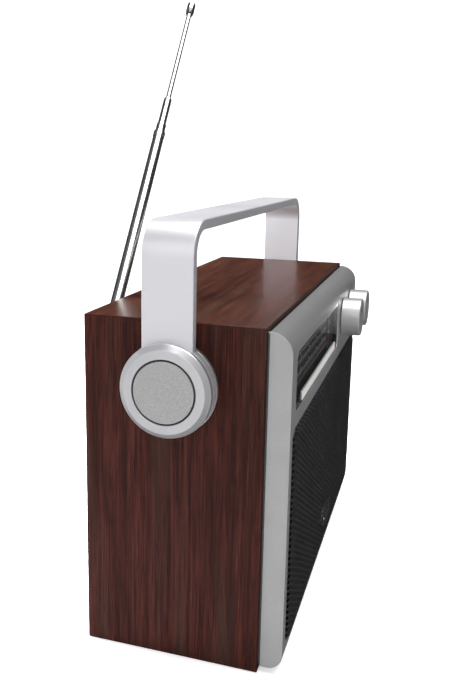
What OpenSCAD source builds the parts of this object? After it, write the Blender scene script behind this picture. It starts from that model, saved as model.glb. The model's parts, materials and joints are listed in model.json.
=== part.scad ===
// Portable radio in a wooden case: moulded front, dial drive, side-pivoted handle and telescopic aerial.
// Frame: origin at the centre of the underside, +X to the listener's right, -Y out of the front, +Z up.

/* [Wooden case] */
// Outside width of the case
case_w = 246.8; // [242:0.2:250]
// Depth of the case boards, front to back
case_d = 94; // [90:1:100]
// Height of the case
case_h = 180; // [178:0.5:182]
// Thickness of each board
board_t = 9; // [8:0.5:9.5]

/* [Front] */
// Depth of the moulded front ahead of its gasket
fascia_d = 11.5; // [11.5:0.5:13]
// How far the front stands in from the case at the sides and the top
fascia_inset = 2; // [1:0.5:3]
// How far the front stands in from the case at the bottom
fascia_rise = 3; // [2:0.5:4]
// Radius of the front's top edge
fascia_top_r = 11; // [9:0.5:11]
// Radius of the front's bottom edge
fascia_bottom_r = 8; // [6:0.5:8]
// Width of the speaker grille
grille_w = 230; // [224:1:232]
// Height of the grille's lower edge above the ground
grille_z = 14; // [13:0.5:16]
// Height of the grille
grille_h = 114; // [108:1:115]

/* [Dial] */
// Left end of the dial window
dial_x0 = -110; // [-111:1:-108]
// Right end of the dial window
dial_x1 = 34; // [33:0.5:35]
// Lower edge of the dial window
dial_z0 = 136; // [135:0.5:137]
// Upper edge of the dial window
dial_z1 = 166; // [165:0.5:166]
// Length of the pointer's travel along the scale
pointer_travel = 120; // [100:1:122]

/* [Knobs] */
// Height of both knob axes
knob_z = 153; // [152:0.5:154]
// Place of the tuning knob
tuning_x = 53; // [52:0.5:54]
// Place of the volume knob
volume_x = 89; // [87:0.5:91]
// Radius of a knob
knob_r = 12.6; // [12:0.1:13]
// Length of a knob
knob_l = 12.6; // [11:0.2:14]

/* [Handle] */
// Height of the handle's pivot axis
pivot_z = 147; // [145:0.5:149]
// Width of the handle strap
strap_w = 26.4; // [24:0.2:28]
// Thickness of the handle strap
strap_t = 5; // [4:0.1:5.2]
// Height of the handle's top face
handle_top = 228.5; // [222:0.5:234]
// Outer radius of the strap's bends
bend_r = 17; // [14:0.5:20]
// Radius of the round pivot boss on the case
hub_r = 24; // [22:0.5:25]
// Radius of the pivot end where it meets its cap
hub_front_r = 23.6; // [21.5:0.1:24]

/* [Aerial] */
// Angle of the aerial out from the back of the case
aerial_swivel_deg = 5; // [5:1:10]
// Angle of the aerial above the horizontal
aerial_rise_deg = 48; // [30:1:60]
// Length of the base tube above its hinge
base_tube_l = 148; // [140:1:150]
// How far the second section stands out
section_2_out = 7; // [2:1:10]
// How far the third section stands out
section_3_out = 23; // [10:1:24]
// How far the tip rod stands out
tip_out = 86; // [60:1:88]

/* [Hidden] */
$fn = 96;

// Clearances
run_gap = 0.05;      // radial gap of a running fit
seat_gap = 0.2;      // gap round a part that drops into an opening
over = 1;            // how far a cutting shape runs past what it cuts

// Case
side_x = case_w / 2;
front_y = -case_d / 2;
back_y = case_d / 2;
inner_x = side_x - board_t;
inner_z0 = board_t;
inner_z1 = case_h - board_t;

// Moulded front
gasket_t = 1;
gasket_r = 2;
fascia_rear = front_y - gasket_t;
fascia_front = fascia_rear - fascia_d;
fascia_x = side_x - fascia_inset;
fascia_z0 = fascia_rise;
fascia_z1 = case_h - fascia_inset;
wall = 3;
grille_proud = 1.5;
grille_front = fascia_front - grille_proud;
grille_t = 1;
grille_flange = 6;
grille_seam = 0.05;
grille_corner_r = 6;
grille_z1 = grille_z + grille_h;
badge = [2, 34];
badge_w = 38;
badge_h = 16;
badge_t = 1.2;

// Dial stack, from the front
window_sunk = 1.5;
window_front = fascia_front + window_sunk;
window_t = 1.6;
window_r = 5;
divider_w = 3;
divider_proud = 1;
bar_x0 = -92;
bar_x1 = 24;
bar_z = 136.4;
bar_h = 5.2;
bar_proud = 1.2;
blade_gap = 0.6;
blade_y = window_front + window_t + blade_gap;
blade_t = 0.6;
scale_y = blade_y + blade_t + blade_gap;
scale_t = 1;
scale_z1 = 162;
chassis_y0 = scale_y + scale_t;
chassis_y1 = front_y + 1;
chassis_z0 = 133.5;
chassis_z1 = 170;
chassis_x = inner_x - 1;

// Knobs
knob_gap = 0.5;
knob_edge_r = 2.4;
knob_face_t = 2;
knob_hole_r = 5;
shaft_r = 3;
volume_bush_r = 4.5;
volume_can_r = 12;
volume_can_l = 11;
volume_shaft_in = 5;
knob_shaft_y = fascia_front - knob_gap - knob_l + knob_face_t;

// Dial drive: one cord takes the pointer, the spindle and the drum round together
cord_r = 0.4;
cord_y = -36;
cord_end_gap = 0.05;
spindle_turn_r = 4;
post_x = -106;
drum_turn_r = pointer_travel / PI;
drum_x = 68;
drum_z = 92;
drum_w = 6;
drum_groove = 0.9;
drum_lip = 1.2;
drum_hub_l = 5;
tuner_half = 11;
drum_hole_r = 7.5;
drum_hole_at = 22;
spool_half = 1.2;
spool_rim = 1.2;
spool_rim_r = 5.5;
rail_y = -43;
rail_z = 166.5;
rail_r = 1;
pointer_x = 12;
pointer_half = 4;
slider_half = 2.4;
blade_half = 0.7;
blade_z = 143;
clip_t = 1.2;
clip_z = [155.2, 157.7];

// Loudspeaker
speaker_x = -50;
speaker_z = 62;
speaker_r = 51;
mouth_r = 45;
flange_t = 2;
flange_over = 3.5;
basket_l = 22;
basket_r0 = 47;
basket_r1 = 24;
basket_t = 1;
magnet_seat = 4;
magnet_neck_r = 13;
magnet_r = 26;
magnet_l = 16;
speaker_screw_at = 50;
speaker_screw_r = 1.5;
speaker_screw_head_r = 3;
speaker_screw_head_l = 2;
baffle_t = 6;
baffle_back = front_y + baffle_t;

// Back
cover_y0 = 41;
cover_y1 = 44;
vent_w = 3;
vent_h = 36;
vent_r = 1.4;
cleat_w = 12;
cover_screw_x = inner_x - cleat_w / 2;
bay_x0 = -98;
bay_x1 = 14;
bay_z0 = 15;
bay_z1 = 71;
bay_depth = 28;
tray_wall = 2;
door_t = 2.4;
hinge_z = 12.6;
hinge_y = 42.4;
cover_screw_z = [22, 158];
cover_screw_l = 9;
cover_screw_r = 1.4;
screw_clear_r = 1.8;
screw_head_r = 3.4;
screw_sink_r = 3.6;
screw_sink = 1.4;
cross_l = 3;
cross_w = 0.4;
switch_x = 62;
switch_z = 138;
inlet_x = 88;
inlet_z = 36;
inlet_half_w = 11;
inlet_half_h = 7;
inlet_in = 14;
inlet_lip = 2;
socket_l = 11;
pin_gap = 4.3;
lip_t = 1.2;
jack_x = 62;
jack_z = 36;
jack_r = 4;
jack_bore_r = 1.8;

// Circuit board
board_x0 = 14;
board_x1 = 108;
board_z0 = 52;
board_z1 = 132;
board_y0 = -12;
pcb_t = 1.6;
ferrite_y = 8;
ferrite_z = 152;
ferrite_r = 5;
holder_t = 5;
coil_x0 = -76;
coil_x1 = -46;
coil_r = 6.5;

// Handle and pivots
strap_gap = 2.1;
pivot_gap = 0.3;
washer_r = 10;
nut_t = 4;
nut_r = 4.6;
bolt_head_r = 4.8;
bolt_head_l = 1.8;
hex_r = 1.7;
cap_hollow_r = 13;
cap_hollow_l = 3.4;
disc_seat = 3.9;
groove_w = 0.7;
strap_in = side_x + strap_gap;
strap_out = strap_in + strap_t;
bush_r = 6;
bolt_r = 2.5;
cap_l = 4.9;
cap_rim_l = 2.4;
cap_face_r = 20.8;
disc_r = 15.5;
washer_t = 1;

// Aerial
pivot = [-84, 50.8, 163];
ear_t = 2.2;
ear_r = 4.5;
ear_gap = 0.1;
spigot_drop = 25;
bracket_half = 9;
bracket_drop = 13;
collar_drop = 12.8;
collar_t = 3;
collar_r = 6;
rivet_t = 0.4;
rivet_r = 2.4;
tongue_t = 3.6;
tongue_half = 2.6;
tongue_end_r = 3.4;
pin_r = 1.5;
base_tube_r = 3.5;
section_2_r = 3.05;
section_3_r = 2.6;
tip_r = 1.6;
tube_start = 8;
section_2_l = 128;
section_3_l = 116;
tip_l = 108;
cap_r = 2.9;
cap_len = 12;
cap_cone = 1.5;
cap_end_r = 1.7;
section_2_top = base_tube_l + section_2_out;
section_3_top = section_2_top + section_3_out;
tip_top = section_3_top + tip_out;

// Shapes drawn in plan and pushed along Y or X
module along_y(y0, y1) { translate([0, y1, 0]) rotate([90, 0, 0]) linear_extrude(y1 - y0) children(); }
module along_x(x0, x1) { translate([x0, 0, 0]) rotate([90, 0, 90]) linear_extrude(x1 - x0) children(); }
module rod_x(x0, x1, y, z, r) { translate([x0, y, z]) rotate([0, 90, 0]) cylinder(h = x1 - x0, r = r); }
module rod_y(x, y0, y1, z, r) { translate([x, y0, z]) rotate([-90, 0, 0]) cylinder(h = y1 - y0, r = r); }
module block(lo, hi) { translate(lo) cube(hi - lo); }
module both_sides() { children(); mirror([1, 0, 0]) children(); }

module rounded_rect(x0, x1, z0, z1, r) {
    translate([x0 + r, z0]) square([x1 - x0 - 2 * r, z1 - z0]);
    translate([x0, z0 + r]) square([x1 - x0, z1 - z0 - 2 * r]);
    for (x = [x0 + r, x1 - r], z = [z0 + r, z1 - r]) translate([x, z]) circle(r);
}

// ---- Wooden case: four boards, mitred at the corners ----

module board_outline() {
    polygon([[-side_x, 0], [side_x, 0], [inner_x, inner_z0], [-inner_x, inner_z0]]);
}

module side_outline() {
    polygon([[side_x, 0], [side_x, case_h], [inner_x, inner_z1], [inner_x, inner_z0]]);
}

module side_board() {
    difference() {
        along_y(front_y, back_y) side_outline();
        rod_x(inner_x - over, side_x + over, 0, pivot_z, bolt_r);
    }
}

module top_board() {
    color("#50321f") along_y(front_y, back_y) translate([0, case_h]) mirror([0, 1]) board_outline();
}

module bottom_board() {
    color("#3c1e18") along_y(front_y, back_y) board_outline();
}

module left_side_board() {
    color("#3c1e1c") mirror([1, 0, 0]) side_board();
}

module right_side_board() {
    color("#3c1e1c") side_board();
}

module rear_cleats() {
    color("#b08d57") both_sides() difference() {
        block([inner_x - cleat_w, cover_y0 - cleat_w, inner_z0], [inner_x, cover_y0, inner_z1]);
        for (z = cover_screw_z) rod_y(cover_screw_x, cover_y0 - cover_screw_l, cover_y0 + over, z,
            cover_screw_r);
    }
}

// ---- Moulded front ----

module front_gasket() {
    color("#101010") along_y(fascia_rear, front_y) difference() {
        rounded_rect(-fascia_x, fascia_x, fascia_z0, fascia_z1, gasket_r);
        rounded_rect(-fascia_x + wall, fascia_x - wall, fascia_z0 + wall, fascia_z1 - wall, gasket_r / 2);
    }
}

// Side profile of the front, drawn as [y, z], shrunk by an inset
module fascia_profile(inset, rear) {
    top_r = fascia_top_r - inset;
    bottom_r = fascia_bottom_r - inset;
    front = fascia_front + inset;
    z0 = fascia_z0 + inset;
    z1 = fascia_z1 - inset;
    difference() {
        translate([front, z0]) square([rear - front, z1 - z0]);
        translate([front, z1 - top_r]) square(top_r);
        translate([front, z0]) square(bottom_r);
    }
    intersection() {
        translate([front, z0]) square([rear - front, z1 - z0]);
        union() {
            translate([front + top_r, z1 - top_r]) circle(top_r);
            translate([front + bottom_r, z0 + bottom_r]) circle(bottom_r);
        }
    }
}

module front_fascia() {
    color("#b9bcc0") difference() {
        along_x(-fascia_x, fascia_x) fascia_profile(0, fascia_rear);
        along_x(-fascia_x + wall, fascia_x - wall) fascia_profile(wall, fascia_rear + over);
        along_y(fascia_front - over, fascia_rear)
            rounded_rect(-grille_w / 2 - seat_gap, grille_w / 2 + seat_gap, grille_z - seat_gap,
                grille_z1 + seat_gap, grille_corner_r + seat_gap);
        along_y(fascia_front - over, fascia_rear) rounded_rect(dial_x0, dial_x1, dial_z0, dial_z1, window_r);
        for (x = [tuning_x, volume_x]) rod_y(x, fascia_front - over, fascia_rear, knob_z, knob_hole_r);
    }
}

// The sheet, and a straight rail behind each of its edges that seats it in the front
module speaker_grille() {
    rail_y0 = grille_front + grille_t + grille_seam;
    rail_y1 = grille_front + grille_flange;
    rail_x = grille_w / 2 - grille_corner_r;
    rail_z0 = grille_z + grille_corner_r;
    rail_z1 = grille_z1 - grille_corner_r;
    color("#18181a") {
        along_y(grille_front, grille_front + grille_t)
            rounded_rect(-grille_w / 2, grille_w / 2, grille_z, grille_z1, grille_corner_r);
        for (x = [-grille_w / 2, grille_w / 2 - grille_t])
            block([x, rail_y0, rail_z0], [x + grille_t, rail_y1, rail_z1]);
        for (z = [grille_z, grille_z1 - grille_t])
            block([-rail_x, rail_y0, z], [rail_x, rail_y1, z + grille_t]);
    }
}

// Two arcs that meet in a point at each end, like an eye
module badge_outline() {
    arc_r = (pow(badge_w / 2, 2) + pow(badge_h / 2, 2)) / badge_h;
    intersection() {
        translate([0, badge_h / 2 - arc_r]) circle(arc_r);
        translate([0, arc_r - badge_h / 2]) circle(arc_r);
    }
}

module grille_badge() {
    color("#050505") along_y(grille_front - badge_t, grille_front) translate(badge) badge_outline();
}

// ---- Dial ----

module dial_window() {
    color("#9fb0b8", 0.35) along_y(window_front, window_front + window_t)
        intersection() {
            rounded_rect(dial_x0, dial_x1, dial_z0, dial_z1, window_r);
            translate([dial_x0, dial_z0]) square([dial_x1 - divider_w - dial_x0, dial_z1 - dial_z0]);
        }
}

module dial_divider() {
    color("#d9dcdf") along_y(window_front - divider_proud, window_front + window_t)
        intersection() {
            rounded_rect(dial_x0, dial_x1, dial_z0, dial_z1, window_r);
            translate([dial_x1 - divider_w, dial_z0]) square([divider_w, dial_z1 - dial_z0]);
        }
}

module dial_trim_bar() {
    color("#e4e6e8") block([bar_x0, window_front - bar_proud, bar_z], [bar_x1, window_front, bar_z + bar_h]);
}

module dial_scale() {
    color("#3b3d3f")
        block([dial_x0 + 2, scale_y, dial_z0 + 0.5], [dial_x1 - divider_w, chassis_y0, scale_z1]);
}

// The grooved end that the cord turns on, with its rear rim
module spool(x) {
    rod_y(x, cord_y - spool_half, cord_y + spool_half, knob_z, spindle_turn_r - cord_r - run_gap);
    rod_y(x, cord_y + spool_half, cord_y + spool_half + spool_rim, knob_z, spool_rim_r);
}

module dial_chassis() {
    color("#222222") difference() {
        union() {
            block([-chassis_x, chassis_y0, chassis_z0], [chassis_x, chassis_y1, scale_z1]);
            block([dial_x1 + 4, chassis_y0, scale_z1], [chassis_x, chassis_y1, chassis_z1]);
            block([-chassis_x, chassis_y0, scale_z1], [dial_x0 - 1, chassis_y1, chassis_z1]);
            for (x = [-chassis_x, dial_x1 + 4])
                block([x, chassis_y1, rail_z - 3], [x + 2.4, rail_y + 3, rail_z + 3]);
            rod_y(tuning_x, chassis_y1, cord_y - 3, knob_z, 6);
            rod_y(post_x, chassis_y1, cord_y - spool_half, knob_z, spool_rim_r);
            spool(post_x);
        }
        rod_x(-chassis_x - over, dial_x1 + 8, rail_y, rail_z, rail_r);
        rod_y(tuning_x, chassis_y0 - over, cord_y, knob_z, shaft_r + run_gap);
        rod_y(volume_x, chassis_y0 - over, chassis_y1 + over, knob_z, volume_bush_r);
    }
}

module pointer_rail() {
    color("#c0c0c4") rod_x(-chassis_x, dial_x1 + 6.4, rail_y, rail_z, rail_r);
}

module dial_pointer() {
    x0 = pointer_x - pointer_half;
    x1 = pointer_x + pointer_half;
    slider_y0 = rail_y - slider_half;
    slider_y1 = rail_y + slider_half;
    slider_z1 = rail_z + 2.5;
    color("#c8321e") difference() {
        union() {
            block([x0, slider_y0, rail_z - 2.5], [x1, slider_y1, slider_z1]);
            block([x0, blade_y + blade_t, rail_z - 2.5], [x1, slider_y0, rail_z - 1]);
            block([pointer_x - blade_half, blade_y, blade_z],
                [pointer_x + blade_half, blade_y + blade_t, rail_z - 1]);
            block([x0, slider_y1, clip_z[0]], [x1, slider_y1 + clip_t, slider_z1]);
            for (z = clip_z) block([x0, slider_y1 + clip_t, z], [x1, cord_y + 0.8, z + 1.1]);
        }
        rod_x(x0 - over, x1 + over, rail_y, rail_z, rail_r + run_gap);
    }
}

// ---- Dial drive ----

// One straight run of the cord between two points in the cord's plane, a hair short of the arcs at its ends
module cord_run(a, b) {
    d = b - a;
    translate([a.x, cord_y, a.y]) rotate([0, atan2(d.x, d.y), 0])
        translate([0, 0, cord_end_gap]) cylinder(h = norm(d) - 2 * cord_end_gap, r = cord_r);
}

// An arc of the cord round a centre, from one angle to another, counted from +X towards +Z
module cord_arc(centre, r, from, to) {
    translate([centre.x, cord_y, centre.y]) rotate([90, 0, 0]) rotate([0, 0, from])
        rotate_extrude(angle = to - from) translate([r, 0]) circle(cord_r);
}

// Where a line that touches two circles on opposite or equal sides meets each of them
function heading(a, b) = atan2(b.y - a.y, b.x - a.x);
function rim(c, r, deg) = [c.x + r * cos(deg), c.y + r * sin(deg)];

module dial_cord() {
    post = [post_x, knob_z];
    spindle = [tuning_x, knob_z];
    drum = [drum_x, drum_z];
    post_gap = norm(drum - post);
    post_deg = heading(post, drum) - 90 - asin((drum_turn_r - spindle_turn_r) / post_gap);
    spindle_gap = norm(drum - spindle);
    spindle_deg = heading(spindle, drum) + 90 + asin((drum_turn_r - spindle_turn_r) / spindle_gap);
    color("#d8cfa8") {
        cord_run(rim(post, spindle_turn_r, 90), rim(spindle, spindle_turn_r, 90));
        cord_arc(post, spindle_turn_r, 90, 360 + post_deg);
        cord_run(rim(post, spindle_turn_r, post_deg), rim(drum, drum_turn_r, post_deg));
        cord_arc(drum, drum_turn_r, post_deg, spindle_deg);
        cord_run(rim(spindle, spindle_turn_r, spindle_deg), rim(drum, drum_turn_r, spindle_deg));
        cord_arc(spindle, spindle_turn_r, spindle_deg, 90);
    }
}

module knob(x) {
    rear = fascia_front - knob_gap;
    edge = knob_edge_r;
    translate([x, rear, knob_z]) rotate([90, 0, 0]) difference() {
        rotate_extrude() {
            square([knob_r - edge, knob_l]);
            square([knob_r, knob_l - edge]);
            translate([knob_r - edge, knob_l - edge]) circle(edge);
        }
        translate([0, 0, -over]) cylinder(h = knob_l - knob_face_t + over, r = shaft_r);
    }
}

module tuning_knob() {
    color("#c9ccd0") knob(tuning_x);
}

module volume_knob() {
    color("#c9ccd0") knob(volume_x);
}

module tuning_spindle() {
    color("#b8b8bc") {
        rod_y(tuning_x, knob_shaft_y, cord_y - spool_half - spool_rim, knob_z, shaft_r);
        rod_y(tuning_x, cord_y - spool_half - spool_rim, cord_y - spool_half, knob_z, spool_rim_r);
        spool(tuning_x);
    }
}

module dial_drum() {
    groove_r = drum_turn_r - cord_r - run_gap;
    rim_r = drum_turn_r + drum_lip;
    color("#e8e4d8") difference() {
        union() {
            rod_y(drum_x, cord_y - drum_w / 2, cord_y - drum_groove, drum_z, rim_r);
            rod_y(drum_x, cord_y - drum_groove, cord_y + drum_groove, drum_z, groove_r);
            rod_y(drum_x, cord_y + drum_groove, cord_y + drum_w / 2, drum_z, rim_r);
            rod_y(drum_x, cord_y + drum_w / 2, cord_y + drum_w / 2 + drum_hub_l, drum_z, shaft_r);
        }
        for (a = [0:60:300])
            rod_y(drum_x + drum_hole_at * cos(a), cord_y - drum_w, cord_y + drum_w,
                drum_z + drum_hole_at * sin(a), drum_hole_r);
    }
}

module tuning_capacitor() {
    front = cord_y + drum_w / 2 + 2;
    color("#9aa39a") difference() {
        block([drum_x - tuner_half, front, drum_z - tuner_half],
            [drum_x + tuner_half, board_y0, drum_z + tuner_half]);
        rod_y(drum_x, front - over, front + 4, drum_z, shaft_r + run_gap);
    }
}

module volume_shaft() {
    color("#b8b8bc") rod_y(volume_x, knob_shaft_y, chassis_y1 + volume_shaft_in, knob_z, shaft_r);
}

module volume_control() {
    color("#8d8f92") difference() {
        union() {
            rod_y(volume_x, chassis_y0, chassis_y1, knob_z, volume_bush_r);
            rod_y(volume_x, chassis_y1, chassis_y1 + volume_can_l, knob_z, volume_can_r);
            block([volume_x - 7, chassis_y1 + 2, knob_z - 18], [volume_x + 7, chassis_y1 + 4, knob_z]);
        }
        rod_y(volume_x, chassis_y0 - over, chassis_y1 + volume_shaft_in + 0.4, knob_z, shaft_r + run_gap);
    }
}

// ---- Baffle and loudspeaker ----

// Draws the children at each of the loudspeaker's four screws
module speaker_screw_places() {
    for (a = [45:90:315])
        translate([speaker_x, 0, speaker_z])
            translate([speaker_screw_at * cos(a), 0, speaker_screw_at * sin(a)]) children();
}

module baffle_board() {
    color("#151515") difference() {
        block([-inner_x, front_y, inner_z0], [inner_x, baffle_back, chassis_z0 - 1]);
        rod_y(speaker_x, front_y - over, baffle_back + over, speaker_z, mouth_r);
        speaker_screw_places() rod_y(0, front_y + 1, baffle_back + over, 0, speaker_screw_r);
    }
}

module speaker_frame() {
    flange_back = baffle_back + flange_t;
    back = flange_back + basket_l;
    color("#3a3a3c") difference() {
        union() {
            along_y(baffle_back, flange_back) translate([speaker_x, speaker_z]) intersection() {
                circle(speaker_r + flange_over);
                square([2 * speaker_r, 2 * speaker_r], center = true);
            }
            translate([speaker_x, flange_back, speaker_z]) rotate([-90, 0, 0])
                cylinder(h = basket_l, r1 = basket_r0, r2 = basket_r1);
        }
        translate([speaker_x, baffle_back - 0.01, speaker_z]) rotate([-90, 0, 0])
            cylinder(h = basket_l + 0.02, r1 = basket_r0 - basket_t, r2 = basket_r1 - basket_t);
        rod_y(speaker_x, back - magnet_seat, back + over, speaker_z, magnet_neck_r);
        for (a = [0:45:315]) translate([speaker_x, baffle_back + 13, speaker_z])
            rotate([0, a, 0]) translate([34, 0, 0]) cube([24, 12, 12], center = true);
        speaker_screw_places() rod_y(0, baffle_back - over, flange_back + over, 0, speaker_screw_r);
    }
}

module speaker_cone() {
    color("#2a2724") translate([speaker_x, baffle_back - 3, speaker_z]) rotate([-90, 0, 0]) rotate_extrude() {
        polygon([[44.5, 0], [44.5, 1], [40, 1], [12, 20], [12, 26], [11, 26], [11, 19], [39.5, 0]]);
        polygon([[0, 14], [11.5, 18.6], [11.5, 19.6], [0, 15]]);
    }
}

module speaker_magnet() {
    back = baffle_back + flange_t + basket_l;
    color("#77797c") difference() {
        rod_y(speaker_x, back, back + magnet_l, speaker_z, magnet_r);
        rod_y(speaker_x, back - over, back + magnet_seat, speaker_z, magnet_neck_r);
    }
}

module speaker_screws() {
    flange_back = baffle_back + flange_t;
    color("#a8aaad") speaker_screw_places() {
        rod_y(0, front_y + 1, flange_back, 0, speaker_screw_r);
        rod_y(0, flange_back, flange_back + speaker_screw_head_l, 0, speaker_screw_head_r);
    }
}

// ---- Electronics ----

module main_board() {
    color("#2e6b3a") difference() {
        block([board_x0, board_y0, board_z0], [board_x1, board_y0 + pcb_t, board_z1]);
        for (x = [board_x0 + 4, board_x1 - 4], z = [board_z0 + 4, board_z1 - 4])
            rod_y(x, board_y0 - over, board_y0 + 3, z, 1.6);
    }
}

module board_components() {
    back = board_y0 + pcb_t;
    color("#30343a") {
        for (i = [0:3]) rod_y(26 + 12 * i, back, back + 13, 62, 4);
        for (i = [0:3]) block([24 + 14 * i, back, 76], [32 + 14 * i, back + 12, 84]);
        for (i = [0:1]) block([26 + 34 * i, back, 96], [46 + 34 * i, back + 4, 104]);
        for (i = [0:4]) rod_x(24 + 15 * i, 32 + 15 * i, back + 1.5, 116, 1.5);
        block([88, back, 58], [100, back + 16, 62]);
    }
}

module ferrite_rod() {
    color("#3d3f43") rod_x(-104, -8, ferrite_y, ferrite_z, ferrite_r);
}

module antenna_coil() {
    color("#b8733a") difference() {
        rod_x(coil_x0, coil_x1, ferrite_y, ferrite_z, coil_r);
        rod_x(coil_x0 - over, coil_x1 + over, ferrite_y, ferrite_z, ferrite_r + seat_gap);
    }
}

module ferrite_holders() {
    color("#d9d6cc") for (x = [-96, -20]) difference() {
        block([x, ferrite_y - 8, ferrite_z - 8], [x + holder_t, ferrite_y + 8, inner_z1]);
        rod_x(x - over, x + holder_t + over, ferrite_y, ferrite_z, ferrite_r);
    }
}

module mains_transformer() {
    color("#8a6a3a") {
        block([64, -34, inner_z0], [104, -4, inner_z0 + 36]);
        block([68, -4, inner_z0 + 7], [100, 4, inner_z0 + 29]);
        for (x = [58, 104]) block([x, -24, inner_z0], [x + 6, -14, inner_z0 + 2]);
    }
}

// ---- Back ----

// A row of upright slots through the cover, from the left one's edge and the row's foot
module vents(count, x0, pitch, z0) {
    for (i = [0:count - 1]) along_y(cover_y0 - over, cover_y1 + over)
        rounded_rect(x0 + pitch * i, x0 + pitch * i + vent_w, z0, z0 + vent_h, vent_r);
}

module rear_cover() {
    x1 = inner_x - seat_gap;
    color("#1b1b1d") difference() {
        block([-x1, cover_y0, inner_z0 + seat_gap], [x1, cover_y1, inner_z1 - seat_gap]);
        block([bay_x0, cover_y0 - over, hinge_z - 2.4], [bay_x1, cover_y1 + over, bay_z1]);
        vents(10, -90, 9, 92);
        vents(6, 34, 11, 76);
        block([switch_x - 8, cover_y0 - over, switch_z - 2.5],
            [switch_x + 8, cover_y1 + over, switch_z + 2.5]);
        inlet_block(inlet_half_w, inlet_half_h, cover_y0 - over, cover_y1 + over);
        rod_y(jack_x, cover_y0 - over, cover_y1 + over, jack_z, jack_r);
        for (x = [-cover_screw_x, cover_screw_x], z = cover_screw_z) {
            rod_y(x, cover_y0 - over, cover_y1 + over, z, screw_clear_r);
            rod_y(x, cover_y1 - screw_sink, cover_y1 + over, z, screw_sink_r);
        }
        both_ends() rod_x(0, 5, hinge_y, hinge_z, 1.2 + run_gap);
    }
}

// Places a shape that runs outwards from 0 along X at each end of the battery door's opening
module both_ends() {
    translate([bay_x1 - 0.01, 0, 0]) children();
    translate([bay_x0 + 0.01, 0, 0]) mirror([1, 0, 0]) children();
}

module rear_cover_screws() {
    color("#b0b2b5") for (x = [-cover_screw_x, cover_screw_x], z = cover_screw_z) {
        rod_y(x, cover_y0 - cover_screw_l, cover_y1 - screw_sink, z, cover_screw_r);
        difference() {
            rod_y(x, cover_y1 - screw_sink, cover_y1 + 0.2, z, screw_head_r);
            for (arm = [[cross_l, cross_w], [cross_w, cross_l]])
                block([x - arm.x, cover_y1 - 0.5, z - arm.y], [x + arm.x, cover_y1 + over, z + arm.y]);
        }
    }
}

module battery_tray() {
    color("#26262a") difference() {
        block([bay_x0 - tray_wall, cover_y0 - bay_depth - tray_wall, bay_z0 - tray_wall + 0.4],
            [bay_x1 + tray_wall, cover_y0, bay_z1 + tray_wall]);
        block([bay_x0, cover_y0 - bay_depth, bay_z0 + 0.4], [bay_x1, cover_y0 + over, bay_z1]);
    }
}

module battery_contacts() {
    mid_z = (bay_z0 + bay_z1) / 2;
    color("#c9c4a8") for (z = [mid_z - 14, mid_z + 14]) {
        block([bay_x0, cover_y0 - 24, z - 8], [bay_x0 + 0.6, cover_y0 - 6, z + 8]);
        block([bay_x1 - 0.6, cover_y0 - 24, z - 8], [bay_x1, cover_y0 - 6, z + 8]);
        rod_x(bay_x0 + 0.6, bay_x0 + 2.6, cover_y0 - 15, z, 4);
    }
}

module battery_door() {
    gap = 0.4;
    color("#202023") difference() {
        union() {
            block([bay_x0 + gap, cover_y1 - door_t, hinge_z], [bay_x1 - gap, cover_y1, bay_z1 - gap]);
            rod_x(bay_x0 + gap, bay_x1 - gap, hinge_y, hinge_z, 1.4);
            rod_x(bay_x0 - 3.5, bay_x1 + 3.5, hinge_y, hinge_z, 1.2);
            block([-48, cover_y1 - door_t - 2, bay_z1 - 4], [-36, cover_y1 - door_t, bay_z1 - 2.4]);
        }
        block([-50, cover_y1 - 0.8, bay_z1 - 9], [-34, cover_y1 + over, bay_z1 - 5]);
    }
}

// A block centred on the inlet, half as wide and half as tall as given
module inlet_block(half_w, half_h, y0, y1) {
    block([inlet_x - half_w, y0, inlet_z - half_h], [inlet_x + half_w, y1, inlet_z + half_h]);
}

module power_inlet() {
    color("#0d0d0d") difference() {
        union() {
            inlet_block(inlet_half_w, inlet_half_h, cover_y0 - inlet_in, cover_y1);
            inlet_block(inlet_half_w + inlet_lip, inlet_half_h + inlet_lip, cover_y1, cover_y1 + lip_t);
        }
        for (x = [-pin_gap, pin_gap]) rod_y(inlet_x + x, cover_y1 - socket_l, cover_y1 + 3, inlet_z, 4);
        inlet_block(pin_gap, 3, cover_y1 - socket_l, cover_y1 + 3);
    }
    color("#c8b060") for (x = [-pin_gap, pin_gap]) rod_y(inlet_x + x, cover_y1 - socket_l,
        cover_y1 - 2, inlet_z, 1.2);
}

module earphone_jack() {
    color("#0d0d0d") difference() {
        union() {
            rod_y(jack_x, cover_y0 - 12, cover_y1, jack_z, jack_r);
            rod_y(jack_x, cover_y1, cover_y1 + lip_t, jack_z, jack_r + 1);
        }
        rod_y(jack_x, cover_y1 - 12.8, cover_y1 + 3, jack_z, jack_bore_r);
    }
}

module band_switch_body() {
    color("#9a9c9f") difference() {
        block([switch_x - 13, cover_y0 - 8, switch_z - 5], [switch_x + 13, cover_y0, switch_z + 5]);
        block([switch_x - 9, cover_y0 - 5, switch_z - 2.6], [switch_x + 9, cover_y0 + over, switch_z + 2.6]);
    }
}

module band_switch_slider() {
    color("#c9ccd0") {
        block([switch_x - 3, cover_y0 - 4.8, switch_z - 2.2], [switch_x + 3, cover_y1 + 1.5, switch_z + 2.2]);
        for (i = [-1:1]) rod_z(switch_x + 1.8 * i, cover_y1 + 1.5, switch_z - 2.2, switch_z + 2.2, 0.5);
    }
}

module rod_z(x, y, z0, z1, r) { translate([x, y, z0]) cylinder(h = z1 - z0, r = r, $fn = 24); }

// ---- Carrying handle and its side pivots ----

module handle_outline() {
    difference() {
        rounded_rect(-strap_out, strap_out, 0, handle_top, bend_r);
        rounded_rect(-strap_in, strap_in, -bend_r, handle_top - strap_t, bend_r - strap_t);
        translate([-case_w, -over]) square([2 * case_w, pivot_z + over]);
    }
}

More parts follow.
